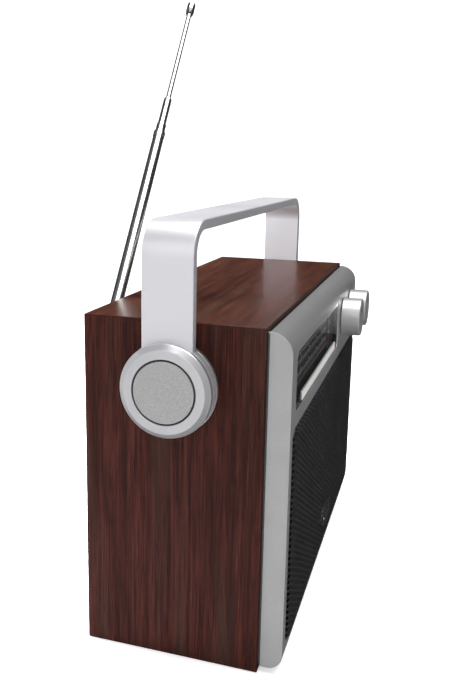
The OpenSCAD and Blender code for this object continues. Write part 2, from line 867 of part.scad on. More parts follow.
module carrying_handle() {
    color("#d6d8de") difference() {
        union() {
            along_y(-strap_w / 2, strap_w / 2) handle_outline();
            both_sides() translate([strap_in, 0, pivot_z]) rotate([0, 90, 0])
                cylinder(h = strap_t, r1 = hub_r - 0.2, r2 = hub_front_r);
        }
        both_sides() rod_x(strap_in - over, strap_out + over, 0, pivot_z, bush_r + run_gap);
    }
}

module pivot_bosses() {
    color("#b5b7ba") both_sides() difference() {
        union() {
            rod_x(side_x, strap_in - 0.2, 0, pivot_z, hub_r);
            rod_x(side_x, strap_out + pivot_gap, 0, pivot_z, bush_r);
        }
        rod_x(side_x - over, strap_out + over, 0, pivot_z, bolt_r);
    }
}

module pivot_washers() {
    color("#9a9ca0") both_sides() difference() {
        rod_x(strap_out + pivot_gap, strap_out + pivot_gap + washer_t, 0, pivot_z, washer_r);
        rod_x(strap_out, strap_out + 3, 0, pivot_z, bolt_r);
    }
}

module pivot_bolts() {
    head_x = strap_out + pivot_gap + washer_t;
    color("#a8aaad") both_sides() {
        rod_x(inner_x - nut_t - over, head_x, 0, pivot_z, bolt_r);
        difference() {
            rod_x(head_x, head_x + bolt_head_l, 0, pivot_z, bolt_head_r);
            translate([head_x + bolt_head_l - 1, 0, pivot_z]) rotate([0, 90, 0])
                cylinder(h = 2, r = hex_r, $fn = 6);
        }
    }
}

module pivot_nuts() {
    color("#9a9ca0") both_sides() difference() {
        translate([inner_x - nut_t, 0, pivot_z]) rotate([0, 90, 0]) cylinder(h = nut_t, r = nut_r, $fn = 6);
        rod_x(inner_x - nut_t - over, inner_x + over, 0, pivot_z, bolt_r);
    }
}

module pivot_caps() {
    color("#c2c4c8") both_sides() difference() {
        union() {
            rod_x(strap_out, strap_out + cap_rim_l, 0, pivot_z, hub_front_r);
            translate([strap_out + cap_rim_l, 0, pivot_z]) rotate([0, 90, 0])
                cylinder(h = cap_l - cap_rim_l, r1 = hub_front_r, r2 = cap_face_r);
        }
        rod_x(strap_out - over, strap_out + cap_hollow_l, 0, pivot_z, cap_hollow_r);
        rod_x(strap_out + disc_seat, strap_out + cap_l + over, 0, pivot_z, disc_r + groove_w);
    }
}

module pivot_discs() {
    color("#9c9ea1") both_sides() rod_x(strap_out + disc_seat, strap_out + cap_l + 0.2, 0, pivot_z,
        disc_r);
}

// ---- Telescopic aerial, drawn upright along +Z from its hinge and then laid into place ----

module swivelled() { translate(pivot) rotate([0, 0, aerial_swivel_deg]) children(); }
module along_aerial() { swivelled() rotate([0, 90 - aerial_rise_deg, 0]) children(); }

module aerial_bracket() {
    color("#1b1b1d") difference() {
        block([pivot.x - bracket_half, cover_y1, pivot.z - spigot_drop],
            [pivot.x + bracket_half, pivot.y + bracket_half, pivot.z - bracket_drop]);
        translate([pivot.x, pivot.y, pivot.z - spigot_drop - over])
            cylinder(h = spigot_drop - bracket_drop + 2 * over, r = shaft_r + run_gap);
    }
}

module aerial_swivel_base() {
    color("#c9ccd0") swivelled() difference() {
        union() {
            translate([0, 0, -spigot_drop]) cylinder(h = spigot_drop - collar_drop, r = shaft_r);
            translate([0, 0, -collar_drop]) cylinder(h = collar_t, r = collar_r);
            for (flip = [0, 1]) mirror([0, flip, 0]) translate([0, tongue_t / 2 + ear_gap, 0]) {
                translate([-ear_r, 0, collar_t - collar_drop])
                    cube([2 * ear_r, ear_t, collar_drop - collar_t]);
                rotate([-90, 0, 0]) cylinder(h = ear_t, r = ear_r);
            }
        }
        rotate([90, 0, 0]) cylinder(h = 12, r = pin_r, center = true);
    }
}

module aerial_hinge_pin() {
    half = tongue_t / 2 + ear_gap + ear_t;
    color("#a8aaad") swivelled() rotate([90, 0, 0]) {
        cylinder(h = 2 * half, r = pin_r, center = true);
        for (side = [-1, 1]) translate([0, 0, side * (half + rivet_t / 2)])
            cylinder(h = rivet_t, r = rivet_r, center = true);
    }
}

module aerial_base_tube() {
    color("#dfe1e4") along_aerial() difference() {
        union() {
            translate([-tongue_half, -tongue_t / 2, 0]) cube([2 * tongue_half, tongue_t, tube_start + over]);
            rotate([90, 0, 0]) cylinder(h = tongue_t, r = tongue_end_r, center = true);
            translate([0, 0, tube_start]) cylinder(h = base_tube_l - tube_start, r = base_tube_r);
        }
        rotate([90, 0, 0]) cylinder(h = 10, r = pin_r + run_gap, center = true);
        translate([0, 0, tube_start + 4]) cylinder(h = base_tube_l, r = section_2_r + run_gap);
    }
}

module aerial_tube(top, length, r, bore) {
    along_aerial() translate([0, 0, top - length]) difference() {
        cylinder(h = length, r = r);
        translate([0, 0, -over]) cylinder(h = length + 2 * over, r = bore + run_gap);
    }
}

module aerial_section_2() {
    color("#dfe1e4") aerial_tube(section_2_top, section_2_l, section_2_r, section_3_r);
}

module aerial_section_3() {
    color("#dfe1e4") aerial_tube(section_3_top, section_3_l, section_3_r, tip_r);
}

module aerial_tip_rod() {
    color("#e6e8ea") along_aerial() translate([0, 0, tip_top - tip_l]) cylinder(h = tip_l, r = tip_r);
}

module aerial_tip_cap() {
    color("#d0d2d5") along_aerial() translate([0, 0, tip_top]) {
        cylinder(h = cap_len - cap_cone, r = cap_r);
        translate([0, 0, cap_len - cap_cone]) cylinder(h = cap_cone, r1 = cap_r, r2 = cap_end_r);
    }
}

top_board();
bottom_board();
left_side_board();
right_side_board();
rear_cleats();
front_gasket();
front_fascia();
speaker_grille();
grille_badge();
dial_window();
dial_divider();
dial_trim_bar();
dial_scale();
dial_chassis();
pointer_rail();
dial_cord();
dial_pointer();
tuning_knob();
tuning_spindle();
dial_drum();
tuning_capacitor();
volume_knob();
volume_shaft();
volume_control();
baffle_board();
speaker_frame();
speaker_cone();
speaker_magnet();
speaker_screws();
main_board();
board_components();
ferrite_rod();
antenna_coil();
ferrite_holders();
mains_transformer();
rear_cover();
rear_cover_screws();
battery_tray();
battery_contacts();
battery_door();
power_inlet();
earphone_jack();
band_switch_body();
band_switch_slider();
carrying_handle();
pivot_bosses();
pivot_bolts();
pivot_washers();
pivot_nuts();
pivot_caps();
pivot_discs();
aerial_bracket();
aerial_swivel_base();
aerial_hinge_pin();
aerial_base_tube();
aerial_section_2();
aerial_section_3();
aerial_tip_rod();
aerial_tip_cap();
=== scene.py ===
import json
import math

import bmesh
import bpy
from mathutils import Matrix, Vector

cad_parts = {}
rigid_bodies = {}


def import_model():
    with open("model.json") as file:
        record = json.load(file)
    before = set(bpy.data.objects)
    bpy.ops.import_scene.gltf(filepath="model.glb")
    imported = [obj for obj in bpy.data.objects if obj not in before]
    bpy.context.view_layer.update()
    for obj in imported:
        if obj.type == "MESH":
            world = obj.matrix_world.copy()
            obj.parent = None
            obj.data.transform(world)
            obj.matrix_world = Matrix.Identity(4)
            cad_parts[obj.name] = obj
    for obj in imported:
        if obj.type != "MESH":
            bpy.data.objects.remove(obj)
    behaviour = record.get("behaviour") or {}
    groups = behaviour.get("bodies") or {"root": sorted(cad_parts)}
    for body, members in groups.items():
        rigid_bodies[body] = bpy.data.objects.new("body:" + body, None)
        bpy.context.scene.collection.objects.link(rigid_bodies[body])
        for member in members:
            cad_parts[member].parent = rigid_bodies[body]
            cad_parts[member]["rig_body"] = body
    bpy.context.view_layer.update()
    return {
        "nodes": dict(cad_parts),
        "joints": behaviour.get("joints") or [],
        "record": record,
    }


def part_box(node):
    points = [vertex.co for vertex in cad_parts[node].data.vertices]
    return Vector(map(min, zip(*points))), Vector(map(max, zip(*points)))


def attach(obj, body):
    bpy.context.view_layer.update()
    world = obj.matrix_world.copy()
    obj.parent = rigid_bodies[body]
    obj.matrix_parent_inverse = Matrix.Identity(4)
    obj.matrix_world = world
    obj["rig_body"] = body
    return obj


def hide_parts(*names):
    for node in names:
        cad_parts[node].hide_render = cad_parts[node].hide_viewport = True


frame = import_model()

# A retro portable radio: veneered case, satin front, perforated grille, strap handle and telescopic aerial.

MM = 0.001
AXIS_R = 0.02 * MM  # turned faces close on the axis with a hole this small
HALF_SIDE = 0.49    # a fillet reaches at most this far along a side
JOINTS = {j["name"]: j for j in frame["joints"]}
SLOT_OF = {s["node"]: s["material_slot"] for s in frame["record"]["subparts"]}
MATERIALS = {}


# ---- Mesh helpers ----

def link_piece(name, data):
    piece = bpy.data.objects.new(name, data)
    bpy.context.scene.collection.objects.link(piece)
    return piece


def mesh_piece(name, verts, faces, crease=32):
    """A smooth-shaded mesh whose edges stay sharp above an angle in degrees."""
    mesh = bpy.data.meshes.new(name)
    mesh.from_pydata([tuple(v) for v in verts], [], faces)
    mesh.validate()
    shape = bmesh.new()
    shape.from_mesh(mesh)
    bmesh.ops.recalc_face_normals(shape, faces=shape.faces)
    shape.to_mesh(mesh)
    shape.free()
    mesh.polygons.foreach_set("use_smooth", [True] * len(mesh.polygons))
    mesh.set_sharp_from_angle(angle=math.radians(crease))
    piece = link_piece(name, mesh)
    flatten_normals(piece)
    return piece


def flatten_normals(piece):
    """Large faces keep their own normals, so that only the small faces between them look rounded."""
    normals = piece.modifiers.new("normals", "WEIGHTED_NORMAL")
    normals.keep_sharp = True
    normals.weight = 90


def place(piece, node, slot=None, paint=None):
    """Rides the piece on the node's body and gives it the node's finish, or another slot's or paint."""
    slot = slot or SLOT_OF[node]
    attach(piece, frame["nodes"][node]["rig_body"])
    piece.data.materials.clear()
    piece.data.materials.append(MATERIALS[paint or slot])


def stand_in(piece, node):
    """The piece takes the place of this CAD node."""
    place(piece, node)
    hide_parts(node)


def fillet(points, radius, steps=5):
    """Rounds the corners of a closed flat outline. A list gives each corner's radius, 0 for a sharp one."""
    count = len(points)
    radii = radius if isinstance(radius, (list, tuple)) else [radius] * count
    out = []
    for i, p in enumerate(points):
        p = Vector(p)
        if radii[i] <= 0:
            out.append(p)
            continue
        a, b = Vector(points[i - 1]) - p, Vector(points[(i + 1) % count]) - p
        reach = min(radii[i], a.length * HALF_SIDE, b.length * HALF_SIDE)
        start, end = p + a.normalized() * reach, p + b.normalized() * reach
        for k in range(steps + 1):
            t = k / steps
            out.append((1 - t) ** 2 * start + 2 * t * (1 - t) * p + t * t * end)
    return out


def loft(loops, caps=True):
    """Vertices and faces of a skin over closed loops that all have as many points."""
    n = len(loops[0])
    verts = [v for loop in loops for v in loop]
    faces = []
    for i in range(len(loops) - 1):
        for k in range(n):
            m = (k + 1) % n
            faces.append((i * n + k, i * n + m, (i + 1) * n + m, (i + 1) * n + k))
    if caps:
        faces.append(tuple(range(n - 1, -1, -1)))
        faces.append(tuple(range((len(loops) - 1) * n, len(loops) * n)))
    return verts, faces


def ring(loops):
    """A skin over closed loops whose last one meets the first."""
    verts, faces = loft(loops, caps=False)
    n = len(loops[0])
    last = (len(loops) - 1) * n
    for k in range(n):
        m = (k + 1) % n
        faces.append((last + k, last + m, m, k))
    return verts, faces


def join(parts):
    """One vertex and face list out of several."""
    verts, faces = [], []
    for part_verts, part_faces in parts:
        base = len(verts)
        verts += part_verts
        faces += [tuple(base + i for i in f) for f in part_faces]
    return verts, faces


def turned(profile, origin, axis, segments):
    """A lathe form. The closed profile is (distance along the axis, radius), in metres."""
    turn = Vector((0, 0, 1)).rotation_difference(Vector(axis).normalized()).to_matrix()
    origin = Vector(origin)
    loops = []
    for along, r in profile:
        loop = []
        for k in range(segments):
            a = 2 * math.pi * k / segments
            loop.append(origin + turn @ Vector((r * math.cos(a), r * math.sin(a), along)))
        loops.append(loop)
    return ring(loops)


def eased_edges(piece, width):
    """Rounds a CAD node's edges without touching its own vertices."""
    weld = piece.modifiers.new("weld", "WELD")
    weld.merge_threshold = 2e-6
    flat = piece.modifiers.new("planar", "DECIMATE")
    flat.decimate_type = "DISSOLVE"
    flat.angle_limit = math.radians(0.6)
    bevel = piece.modifiers.new("bevel", "BEVEL")
    bevel.width = width
    bevel.segments = 3
    bevel.limit_method = "ANGLE"
    bevel.angle_limit = math.radians(38)
    bevel.miter_outer = "MITER_ARC"
    flatten_normals(piece)


# ---- Material helpers ----

def fill_ramp(ramp, stops):
    """Sets a colour ramp's stops. A bare number is a grey."""
    while len(ramp.elements) < len(stops):
        ramp.elements.new(0.5)
    for element, (at, colour) in zip(ramp.elements, stops):
        element.position = at
        shade = colour if isinstance(colour, (list, tuple)) else (colour,) * 3
        element.color = (*shade, 1)


def times(shade, factor):
    """A lighter or darker shade, never over 1."""
    return [min(1, c * factor) for c in shade]


class Paint:
    """A Principled material whose colour, roughness and bump come from procedural textures."""

    def __init__(self, name, rough=0.4, metallic=0.0, coat=0.0, coat_rough=0.1, ior=1.5):
        self.material = bpy.data.materials.new(name)
        self.material.use_nodes = True
        self.tree = self.material.node_tree
        self.shader = self.tree.nodes["Principled BSDF"]
        self.set("Roughness", rough)
        self.set("Metallic", metallic)
        self.set("IOR", ior)
        self.set("Coat Weight", coat)
        self.set("Coat Roughness", coat_rough)
        self.where = self.tree.nodes.new("ShaderNodeTexCoord").outputs["Object"]
        self.height = None
        MATERIALS[name] = self.material

    def set(self, socket, value):
        self.shader.inputs[socket].default_value = value

    def link(self, out, into):
        self.tree.links.new(out, into)

    def stretched(self, per_metre):
        """Object coordinates, scaled to so many cells a metre on each axis."""
        mapping = self.tree.nodes.new("ShaderNodeMapping")
        mapping.inputs["Scale"].default_value = per_metre
        self.link(self.where, mapping.inputs["Vector"])
        return mapping.outputs["Vector"]

    def noise(self, per_metre, detail=4, rough=0.55, distortion=0.0):
        node = self.tree.nodes.new("ShaderNodeTexNoise")
        node.inputs["Scale"].default_value = 1
        node.inputs["Detail"].default_value = detail
        node.inputs["Roughness"].default_value = rough
        node.inputs["Distortion"].default_value = distortion
        self.link(self.stretched(per_metre), node.inputs["Vector"])
        return node.outputs["Fac"]

    def cells(self, per_metre):
        """A random value for each small cell, as for flakes and sparkle."""
        node = self.tree.nodes.new("ShaderNodeTexVoronoi")
        node.inputs["Scale"].default_value = 1
        self.link(self.stretched(per_metre), node.inputs["Vector"])
        split = self.tree.nodes.new("ShaderNodeSeparateColor")
        self.link(node.outputs["Color"], split.inputs["Color"])
        return split.outputs["Red"]

    def ramp(self, value, stops):
        node = self.tree.nodes.new("ShaderNodeValToRGB")
        fill_ramp(node.color_ramp, stops)
        self.link(value, node.inputs["Fac"])
        return node.outputs["Color"]

    def mix(self, a, b, amount):
        """Goes from socket a to colour b as the amount socket goes from 0 to 1."""
        node = self.tree.nodes.new("ShaderNodeMix")
        node.data_type = "RGBA"
        self.link(a, node.inputs[6])
        node.inputs[7].default_value = (*b, 1)
        self.link(amount, node.inputs[0])
        return node.outputs[2]

    def colour(self, out):
        self.link(out, self.shader.inputs["Base Color"])

    def roughness(self, value, low, high):
        """Roughness that follows a texture between two values."""
        node = self.tree.nodes.new("ShaderNodeMapRange")
        node.inputs["To Min"].default_value = low
        node.inputs["To Max"].default_value = high
        self.link(value, node.inputs["Value"])
        self.link(node.outputs["Result"], self.shader.inputs["Roughness"])

    def bump(self, value, strength, depth):
        node = self.tree.nodes.new("ShaderNodeBump")
        node.inputs["Strength"].default_value = strength
        node.inputs["Distance"].default_value = depth
        self.link(value, node.inputs["Height"])
        if self.height is not None:
            self.link(self.height, node.inputs["Normal"])
        self.height = node.outputs["Normal"]
        self.link(self.height, self.shader.inputs["Normal"])


def along(grain, length, across):
    """Cells a metre on each axis, long on the grain axis."""
    return tuple(length if axis == grain else across for axis in "xyz")


# ---- Materials, one function for each kind ----

def veneer(name, grain, dark, red, grey, rough, coat, gloss):
    """Wood veneer: fine streaks, broader figure, greyish patches and short open pores along the grain."""
    paint = Paint(name, rough, coat=coat, coat_rough=0.12)
    paint.set("Specular IOR Level", gloss)
    fine = paint.noise(along(grain, 30, 1250), 5, 0.75, 0.5)
    figure = paint.noise(along(grain, 11, 330), 5, 0.65, 1.1)
    patches = paint.noise(along(grain, 7, 90), 3, 0.55, 0.4)
    pores = paint.noise(along(grain, 75, 2300), 2, 0.5)
    base = paint.ramp(fine, [(0.38, dark), (0.54, red), (0.66, times(red, 1.4))])
    base = paint.mix(base, dark, paint.ramp(figure, [(0.4, 0.8), (0.56, 0.0)]))
    base = paint.mix(base, grey, paint.ramp(patches, [(0.52, 0.0), (0.7, 0.55)]))
    base = paint.mix(base, (0.004, 0.002, 0.002), paint.ramp(pores, [(0.26, 0.85), (0.36, 0.0)]))
    paint.colour(base)
    paint.roughness(fine, rough - 0.06, rough + 0.1)
    paint.bump(paint.ramp(pores, [(0.26, 0.0), (0.36, 1.0)]), 0.35, 0.05 * MM)
    paint.bump(fine, 0.16, 0.04 * MM)


def sawn_wood(name):
    paint = Paint(name, 0.75)
    grain = paint.noise(along("z", 22, 620), 5, 0.6, 0.4)
    browns = [(0.3, (0.26, 0.14, 0.055)), (0.55, (0.47, 0.29, 0.14)), (0.8, (0.6, 0.4, 0.22))]
    paint.colour(paint.ramp(grain, browns))
    paint.bump(grain, 0.5, 0.12 * MM)


def flake_paint(name, shade, rough, flake, metallic, peel=0.08):
    """Satin silver paint: metal flakes under a faint orange peel, with slightly duller handled patches."""
    paint = Paint(name, rough, metallic=metallic)
    flakes = paint.cells((5200,) * 3)
    worn = paint.noise((38,) * 3, 3)
    base = paint.ramp(flakes, [(0.0, times(shade, 1 - flake)), (0.6, shade), (1.0, times(shade, 1 + flake))])
    paint.colour(paint.mix(base, times(shade, 0.86), paint.ramp(worn, [(0.45, 0.0), (0.8, 0.5)])))
    paint.roughness(worn, rough - 0.05, rough + 0.08)
    paint.bump(paint.noise((1500,) * 3, 2), peel, 0.03 * MM)


def brushed(name, shade, rough, grain="x", streak=1800, metallic=1.0):
    """Satin metal with fine brushing along one axis, and faint smears."""
    paint = Paint(name, rough, metallic=metallic)
    lines = paint.noise(along(grain, 16, streak), 4, 0.6)
    smears = paint.noise((26,) * 3, 3)
    paint.colour(paint.ramp(lines, [(0.3, times(shade, 0.93)), (0.7, shade)]))
    paint.roughness(smears, rough - 0.05, rough + 0.08)
    paint.bump(lines, 0.08, 0.02 * MM)


def plated(name, shade, rough):
    """Bright plating: tiny scratches and faint cloudy wear."""
    paint = Paint(name, rough, metallic=1.0)
    clouds = paint.noise((55,) * 3, 4)
    scratches = paint.noise((340, 340, 2600), 3, 0.7)
    paint.colour(paint.ramp(clouds, [(0.3, times(shade, 0.93)), (0.7, shade)]))
    paint.roughness(clouds, rough * 0.6, rough * 1.9)
    paint.bump(scratches, 0.03, 0.01 * MM)


def moulded(name, shade, rough, coat=0.0, texture=0.3, per_metre=2600):
    """Moulded plastic or coated metal: a fine spark texture with faintly polished patches."""
    paint = Paint(name, rough, coat=coat, coat_rough=0.05)
    grainy = paint.noise((per_metre,) * 3, 3, 0.6)
    dusty = paint.noise((60,) * 3, 4)
    paint.colour(paint.ramp(dusty, [(0.3, times(shade, 0.8)), (0.75, times(shade, 1.3))]))
    paint.roughness(dusty, rough - 0.04, rough + 0.08)
    paint.bump(grainy, texture, 0.05 * MM)


def sparkle(name, shade):
    """The pivot disc's fine sparkled texture."""
    paint = Paint(name, 0.42, metallic=0.7)
    grains = paint.cells((3300,) * 3)
    paint.colour(paint.ramp(grains, [(0.0, times(shade, 0.84)), (0.55, shade), (1.0, times(shade, 1.25))]))
    paint.bump(paint.noise((2600,) * 3, 3, 0.65), 0.22, 0.05 * MM)


def clear(name):
    """The dial's clear window, a little smoky, with a trace of rubbing in its gloss."""
    paint = Paint(name, 0.03, ior=1.49)
    haze = paint.noise((90,) * 3, 4)
    paint.set("Alpha", 0.34)
    paint.set("Specular IOR Level", 0.8)
    paint.colour(paint.ramp(haze, [(0.3, (0.012, 0.012, 0.013)), (0.7, (0.02, 0.02, 0.021))]))
    paint.roughness(haze, 0.015, 0.06)


def fibrous(name, shade, rough, per_metre):
    """Paper, cord and winding: an uneven surface with matching colour."""
    paint = Paint(name, rough)
    fibre = paint.noise(per_metre, 5, 0.65)
    paint.colour(paint.ramp(fibre, [(0.3, times(shade, 0.6)), (0.7, times(shade, 1.25))]))
    paint.bump(fibre, 0.5, 0.1 * MM)


def wood_materials():
    veneer("veneer_side", "z", dark=(0.016, 0.0044, 0.0029), red=(0.051, 0.0108, 0.0070),
           grey=(0.036, 0.0185, 0.0122), rough=0.44, coat=0.0, gloss=0.08)
    veneer("veneer_top", "x", dark=(0.017, 0.0058, 0.0037), red=(0.048, 0.0152, 0.0092),
           grey=(0.037, 0.0205, 0.0138), rough=0.32, coat=0.08, gloss=0.12)
    sawn_wood("batten_wood")


def metal_materials():
    flake_paint("silver_plastic", (0.37, 0.37, 0.373), rough=0.36, flake=0.08, metallic=0.6)
    flake_paint("bar_silver", (0.72, 0.72, 0.69), rough=0.38, flake=0.04, metallic=0.15)
    flake_paint("hub_silver", (0.66, 0.66, 0.68), rough=0.33, flake=0.04, metallic=0.85, peel=0.04)
    sparkle("hub_textured", (0.40, 0.40, 0.40))
    brushed("knob_silver", (0.56, 0.56, 0.565), 0.42, "y", metallic=0.8)
    brushed("handle_metal", (0.72, 0.72, 0.755), 0.38, metallic=0.7)
    brushed("plain_steel", (0.50, 0.50, 0.51), 0.36)
    brushed("copper_coil", (0.72, 0.30, 0.14), 0.33, "z", 2600)
    plated("bright_trim", (0.84, 0.84, 0.83), 0.10)
    plated("aerial_chrome", (0.64, 0.64, 0.63), 0.17)


def plastic_materials():
    moulded("grille_black", (0.012, 0.012, 0.0125), 0.42, texture=0.2)
    moulded("gloss_black", (0.016, 0.016, 0.0165), 0.24, coat=1.0, texture=0.02)
    moulded("black_plastic", (0.016, 0.016, 0.017), 0.48)
    clear("clear_window")
    moulded("dial_print", (0.060, 0.061, 0.062), 0.4, texture=0.05)
    moulded("scale_grey", (0.52, 0.52, 0.51), 0.35, texture=0.05)
    moulded("scale_white", (0.75, 0.75, 0.72), 0.45, texture=0.05)
    moulded("pointer_red", (0.30, 0.020, 0.012), 0.35, texture=0.05)
    moulded("drum_plastic", (0.72, 0.68, 0.58), 0.45, texture=0.1)


def inside_materials():
    moulded("board_green", (0.018, 0.10, 0.035), 0.35, coat=0.4, texture=0.08, per_metre=900)
    moulded("component_dark", (0.05, 0.032, 0.022), 0.4, texture=0.1)
    moulded("ferrite_grey", (0.045, 0.045, 0.05), 0.55)
    fibrous("cord_fibre", (0.55, 0.50, 0.38), 0.8, (2500,) * 3)
    fibrous("paper_cone", (0.024, 0.022, 0.020), 0.9, (700,) * 3)
    fibrous("transformer_wrap", (0.46, 0.33, 0.09), 0.5, (240, 240, 900))


# ---- Wooden case ----

def board(node, length, thick, to_world):
    """A mitred board with softly rounded outer corners. to_world takes (along, depth) to (x, z)."""
    corner, ease = 1.1 * MM, 0.45 * MM
    part = ease * 0.3
    arc_steps = 6
    lo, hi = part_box(node)
    outline = [(thick, thick)]
    for centre, first in ((corner, 225), (length - corner, 270)):
        for k in range(arc_steps + 1):
            a = math.radians(first + 45 * k / arc_steps)
            outline.append((centre + corner * math.cos(a), corner + corner * math.sin(a)))
    outline.append((length - thick, thick))
    loops = []
    for y, inset in ((lo.y, ease), (lo.y + part, part), (lo.y + ease, 0),
                     (hi.y - ease, 0), (hi.y - part, part), (hi.y, ease)):
        loop = []
        for t, d in outline:
            x, z = to_world(t, d + inset if d < thick / 2 else d)
            loop.append(Vector((x, y, z)))
        loops.append(loop)
    stand_in(mesh_piece(node + "_veneered", *loft(loops)), node)


def wooden_case():
    lo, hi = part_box("top_board")
    side_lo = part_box("left_side_board")[0]
    width, height, thick = hi.x - lo.x, hi.z, hi.z - lo.z
    board("top_board", width, thick, lambda t, d: (lo.x + t, height - d))
    board("bottom_board", width, thick, lambda t, d: (lo.x + t, d))
    board("left_side_board", height, thick, lambda t, d: (side_lo.x + d, t))
    board("right_side_board", height, thick, lambda t, d: (hi.x - d, t))


# ---- Grille ----

GRILLE_PITCH = 3.3 * MM
GRILLE_HOLE_R = 1.12 * MM
GRILLE_HOLE_SIDES = 12
GRILLE_SHEET = 0.7 * MM
GRILLE_BEND_R = 3 * MM
GRILLE_CORNER_R = 6 * MM


def grille_bend(u, v, inner_x, inner_z, deepest):
    """Bends a point of the flat sheet: x, z and depth, and how far the point is past the flat face."""
    inner_r = GRILLE_CORNER_R - GRILLE_BEND_R
    qx, qz = abs(u) - (inner_x - inner_r), abs(v) - (inner_z - inner_r)
    if qx > 0 and qz > 0:
        far = math.hypot(qx, qz)
        nx, nz = qx / far, qz / far
    else:
        nx, nz = (1, 0) if qx > qz else (0, 1)
        far = max(qx, qz)
    past = far - inner_r
    if past <= 0:
        return u, v, 0, past
    run = min(past, deepest)
    turn = min(run / GRILLE_BEND_R, math.pi / 2)
    out = GRILLE_BEND_R * math.sin(turn)
    depth = GRILLE_BEND_R * (1 - math.cos(turn)) + max(0, run - GRILLE_BEND_R * math.pi / 2)
    x = abs(u) + nx * (out - past)
    z = abs(v) + nz * (out - past)
    return math.copysign(x, u), math.copysign(z, v), depth, past


def grille_mesh(lo, hi):
    """Vertices and faces of the bent sheet, one cell for each hole, in staggered columns over the bend."""
    mid_x, mid_z = (lo.x + hi.x) / 2, (lo.z + hi.z) / 2
    inner_x, inner_z = (hi.x - lo.x) / 2 - GRILLE_BEND_R, (hi.z - lo.z) / 2 - GRILLE_BEND_R
    bend_run = GRILLE_BEND_R * math.pi / 2
    deepest = bend_run + (hi.y - lo.y) - GRILLE_BEND_R
    column = GRILLE_PITCH * math.sqrt(3) / 2
    verts, faces, known = [], [], {}

    def point(u, v):
        """The index of a vertex of the sheet, shared by the cells that meet there."""
        key = (round(u * 1e6), round(v * 1e6))
        if key not in known:
            x, z, depth, _ = grille_bend(u, v, inner_x, inner_z, deepest)
            known[key] = len(verts)
            verts.append(Vector((mid_x + x, lo.y + depth, mid_z + z)))
        return known[key]

    columns = math.ceil((inner_x + deepest) / column) + 1
    rows = math.ceil((inner_z + deepest) / GRILLE_PITCH) + 1
    for i in range(-columns, columns + 1):
        for k in range(-rows, rows + 1):
            u, v = i * column, (k + (i % 2) / 2) * GRILLE_PITCH
            past = grille_bend(u, v, inner_x, inner_z, deepest)[3]
            if past > deepest + GRILLE_PITCH * 0.55:
                continue
            rim, hole = [], []
            for s in range(GRILLE_HOLE_SIDES):
                a = 2 * math.pi * s / GRILLE_HOLE_SIDES
                r = GRILLE_PITCH / 2 / (1 if s % 2 else math.cos(math.pi / 6))
                rim.append(point(u + r * math.cos(a), v + r * math.sin(a)))
                if past <= bend_run:
                    hole.append(point(u + GRILLE_HOLE_R * math.cos(a), v + GRILLE_HOLE_R * math.sin(a)))
            if not hole:
                faces.append(tuple(rim))
                continue
            for s in range(GRILLE_HOLE_SIDES):
                m = (s + 1) % GRILLE_HOLE_SIDES
                faces.append((rim[s], rim[m], hole[m], hole[s]))
    return verts, faces


def grille():
    """A perforated sheet, bent back all round."""
    piece = mesh_piece("grille_perforated", *grille_mesh(*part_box("speaker_grille")), 60)
    sheet = piece.modifiers.new("sheet", "SOLIDIFY")
    sheet.thickness = GRILLE_SHEET
    sheet.offset = -1
    stand_in(piece, "speaker_grille")


def eye_outline(half_w, half_h, steps=28):
    """Two arcs that meet in a point at each end."""
    arc_r = (half_w ** 2 + half_h ** 2) / (2 * half_h)
    outline = []
    for side in (1, -1):
        for k in range(steps):
            x = half_w * (1 - 2 * k / steps) * side
            outline.append((x, side * (math.sqrt(arc_r ** 2 - x * x) - (arc_r - half_h))))
    return outline


def badge():
    """A domed eye-shaped badge with a plain bar across it."""
    lo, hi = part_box("grille_badge")
    mid, rise = (lo + hi) / 2, hi.y - lo.y
    outline = eye_outline((hi.x - lo.x) / 2, (hi.z - lo.z) / 2)
    dome = ((1, 0), (1, 0.35), (0.985, 0.52), (0.93, 0.68),
            (0.8, 0.84), (0.55, 0.95), (0.25, 0.995), (0.02, 1))
    loops = []
    for scale, lift in dome:
        loops.append([Vector((mid.x + x * scale, hi.y - rise * lift, mid.z + z * scale)) for x, z in outline])
    stand_in(mesh_piece("badge_domed", *loft(loops)), "grille_badge")
    half_l, half_t, end_r = 12.5 * MM, 0.8 * MM, 0.7 * MM
    bar = fillet([(-half_l, -half_t), (half_l, -half_t), (half_l, half_t), (-half_l, half_t)], end_r, 4)
    loops = []
    for scale, y in ((1, 0.25), (1, -0.02), (0.94, -0.1)):
        loops.append([Vector((mid.x + p.x * scale, lo.y + y * MM, mid.z + p.y * scale)) for p in bar])
    place(mesh_piece("badge_bar", *loft(loops)), "grille_badge", "bright_trim")


# ---- Dial ----

SCALE_BANDS = ((1.1, 1.6), (4.3, 1.1), (8.7, 1.1), (15.2, 1.3))  # mm below the scale's top edge, and mm tall
SCALE_LINE = (11.25, 11.75)                                      # mm below the top edge, both sides
SCALE_TICKS = ((11.0, 1.5), (17.4, 1.4))                         # mm below the top edge, and mm tall
SCALE_NUMBERS = ((7.65, ("88", "92", "96", "100", "104", "108")),  # mm below the top edge, and the numbers
                 (14.35, ("53", "60", "70", "90", "120", "160")))
NUMBER_SIZE = 2.7 * MM
TICK_COUNT = 51
TICKS_TO_A_NUMBER = 5


def strip(x0, x1, z0, z1, y, raised, ease):
    """A thin printed or applied strip on a face that looks to the front."""
    outline = fillet([(x0, z0), (x1, z0), (x1, z1), (x0, z1)], ease, 2)
    mid = Vector(((x0 + x1) / 2, (z0 + z1) / 2))
    loops = []
    for back, shrink in ((0, 0), (raised * 0.7, 0), (raised, ease * 0.3)):
        loop = []
        for p in outline:
            dx, dz = math.copysign(shrink, p.x - mid.x), math.copysign(shrink, p.y - mid.y)
            loop.append(Vector((p.x - dx, y - back, p.y - dz)))
        loops.append(loop)
    return loft(loops)


